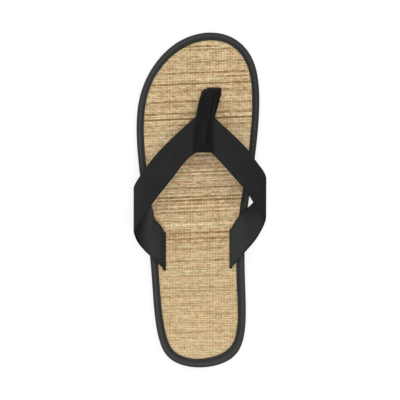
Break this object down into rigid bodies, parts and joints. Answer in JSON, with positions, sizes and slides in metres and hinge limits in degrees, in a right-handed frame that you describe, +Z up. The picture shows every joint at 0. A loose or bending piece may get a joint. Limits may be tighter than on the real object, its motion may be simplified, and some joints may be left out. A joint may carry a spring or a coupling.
{
  "type": "flip-flop",
  "caption": "Left flip-flop with a straw mat insole, fabric bound edge, foam outsole and a slack webbing V strap held by a toe loop.",
  "frame": {"origin": "on the floor, at the bottom centre of the shoe's box", "axes": "+Y along the sole towards the toe, +X towards the big-toe (medial) side, +Z up"},
  "size_m": [0.112, 0.2848, 0.0479],
  "materials": {
    "black_foam": "matte closed-cell foam",
    "straw_mat": "woven straw, satin",
    "binding_tape": "woven tape, matte",
    "black_webbing": "woven webbing, matte"
  },
  "bodies": {
    "root": {"outsole": "black_foam", "insole": "straw_mat", "binding": "binding_tape", "upper": "black_webbing"}
  },
  "joints": []
}
